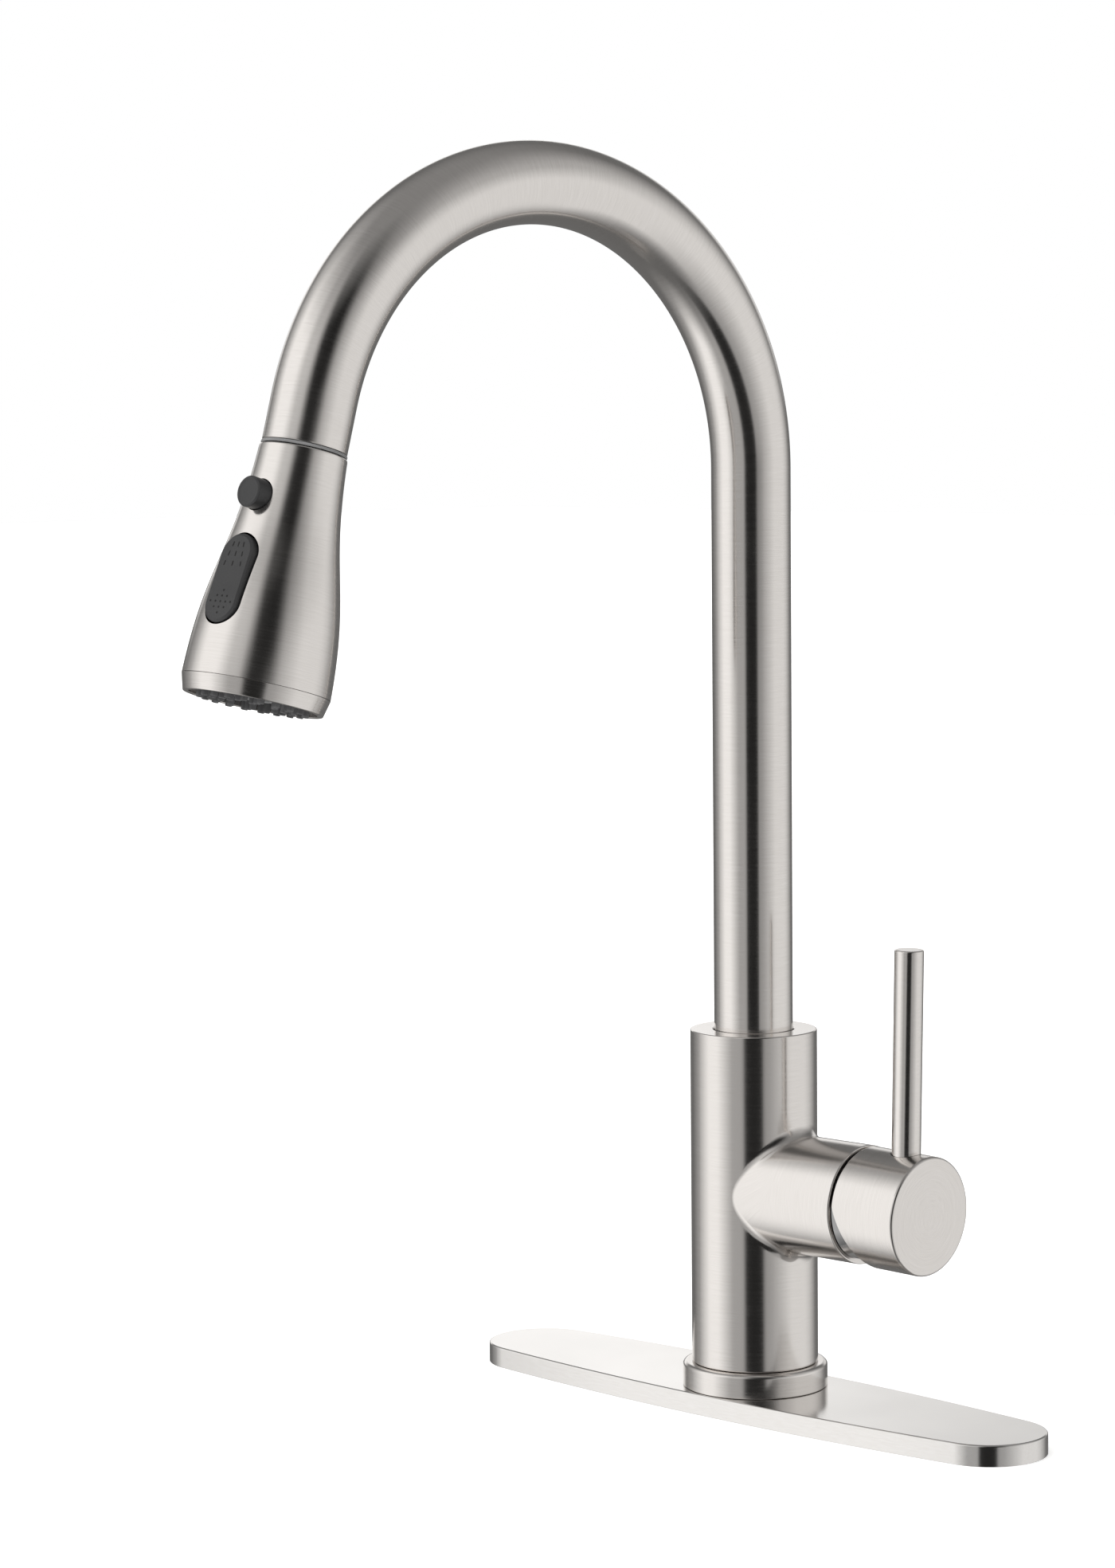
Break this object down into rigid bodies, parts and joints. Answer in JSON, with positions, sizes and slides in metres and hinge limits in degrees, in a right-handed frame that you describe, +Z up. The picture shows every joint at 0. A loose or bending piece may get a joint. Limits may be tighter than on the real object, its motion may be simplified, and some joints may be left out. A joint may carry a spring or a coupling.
{
  "type": "pull down kitchen faucet",
  "caption": "Side-lever kitchen faucet on a long deck plate, with a swivelling gooseneck spout and a docked spray wand that pulls down on a hose.",
  "frame": {"origin": "where the body's upright axis meets the top of the counter, at the middle of the mounting hole", "axes": "+Z up the body; +X towards the side lever; -Y towards the sink and the user"},
  "size_m": [0.2514, 0.2645, 0.5069],
  "materials": {
    "brushed_nickel": "satin, finely brushed round each turned piece",
    "polished_steel": "near-mirror top, satin edge",
    "chrome": "polished",
    "brass": "machined",
    "steel": "plain zinc-plated",
    "black_plastic": "fine matte grain",
    "grey_plastic": "satin",
    "white_plastic": "moulded acetal",
    "rubber": "soft matte",
    "ceramic": "lapped",
    "foam": "closed-cell sheet",
    "braided_hose": "woven nylon braid"
  },
  "bodies": {
    "base": {"deck_plate": "polished_steel", "deck_underplate": "black_plastic", "deck_gasket": "foam", "base_ring": "brushed_nickel", "base_seal": "rubber", "body": "brushed_nickel", "mounting_shank": "brass", "rubber_washer": "rubber", "steel_washer": "steel", "mounting_nut": "brass", "nut_screw_1": "steel", "nut_screw_2": "steel", "hot_supply_tube": "brass", "cold_supply_tube": "brass", "mixed_outlet_tube": "brass", "waterway_core": "brass", "cartridge_seal": "rubber", "cartridge_base": "white_plastic", "fixed_disc": "ceramic", "cartridge_housing": "white_plastic", "cartridge_nut": "brass", "trim_dome": "chrome", "swivel_bushing": "white_plastic", "swivel_o_ring_1": "rubber", "swivel_o_ring_2": "rubber", "thrust_washer": "white_plastic"},
    "turret": {"cartridge_turret": "white_plastic", "stem_pin": "steel"},
    "mixer_disc": {"sliding_disc": "ceramic", "disc_carrier": "black_plastic"},
    "handle": {"handle_hub": "brushed_nickel", "lever": "brushed_nickel", "cartridge_stem": "brass", "hub_set_screw": "steel", "hub_plug": "grey_plastic"},
    "spout": {"spout_tube": "brushed_nickel", "spout_clip": "steel", "dock_insert": "grey_plastic", "pull_hose": "braided_hose"},
    "wand": {"wand_shell": "brushed_nickel", "wand_neck": "black_plastic", "wand_core": "black_plastic", "hose_nut": "chrome", "neck_washer": "rubber", "face_ring": "brushed_nickel", "spray_plate": "grey_plastic", "nozzle_pad": "rubber", "aerator": "grey_plastic", "check_valve": "white_plastic", "rocker_pin": "steel", "pause_spring": "steel"},
    "pause_key": {"pause_button": "black_plastic", "pause_plunger": "brass"},
    "mode_key": {"mode_rocker": "black_plastic"},
    "diverter": {"diverter_spool": "white_plastic"}
  },
  "joints": [
    {"name": "spout_swivel", "type": "hinge", "parent": "base", "child": "spout", "pos_m": [0, 0, 0], "axis": [0, 0, 1], "continuous": true},
    {"name": "wand_pull", "type": "slide", "parent": "spout", "child": "wand", "axis": [-0.0274, -0.2608, -0.965], "range_m": [0, 0.25], "deforming": ["pull_hose"]},
    {"name": "pause_press", "type": "slide", "parent": "wand", "child": "pause_key", "axis": [-0.0385, 0.9649, -0.2596], "range_m": [0, 0.0018], "stiffness_N_per_m": 900, "springref_m": -0.002, "deforming": ["pause_spring"]},
    {"name": "mode_toggle", "type": "hinge", "parent": "wand", "child": "mode_key", "pos_m": [-0.02102, -0.22296, 0.30201], "axis": [-0.9989, -0.0301, 0.0365], "range_deg": [0, 5]},
    {"name": "diverter_shift", "type": "slide", "parent": "wand", "child": "diverter", "axis": [-0.0274, -0.2608, -0.965], "range_m": [0, 0.0013]},
    {"name": "temperature_turn", "type": "hinge", "parent": "base", "child": "turret", "pos_m": [0.044, 0, 0.07875], "axis": [1, 0, 0], "range_deg": [-45, 45]},
    {"name": "flow_tilt", "type": "hinge", "parent": "turret", "child": "handle", "pos_m": [0.044, 0, 0.07875], "axis": [0, 1, 0], "range_deg": [0, 20]},
    {"name": "disc_slide", "type": "slide", "parent": "turret", "child": "mixer_disc", "axis": [0, 0, 1], "range_m": [0, 0.0039]}
  ],
  "couplings": [
    {"joint": "disc_slide", "follows": "flow_tilt", "m_per_rad": 0.0104},
    {"joint": "diverter_shift", "follows": "mode_toggle", "m_per_rad": 0.0138}
  ]
}
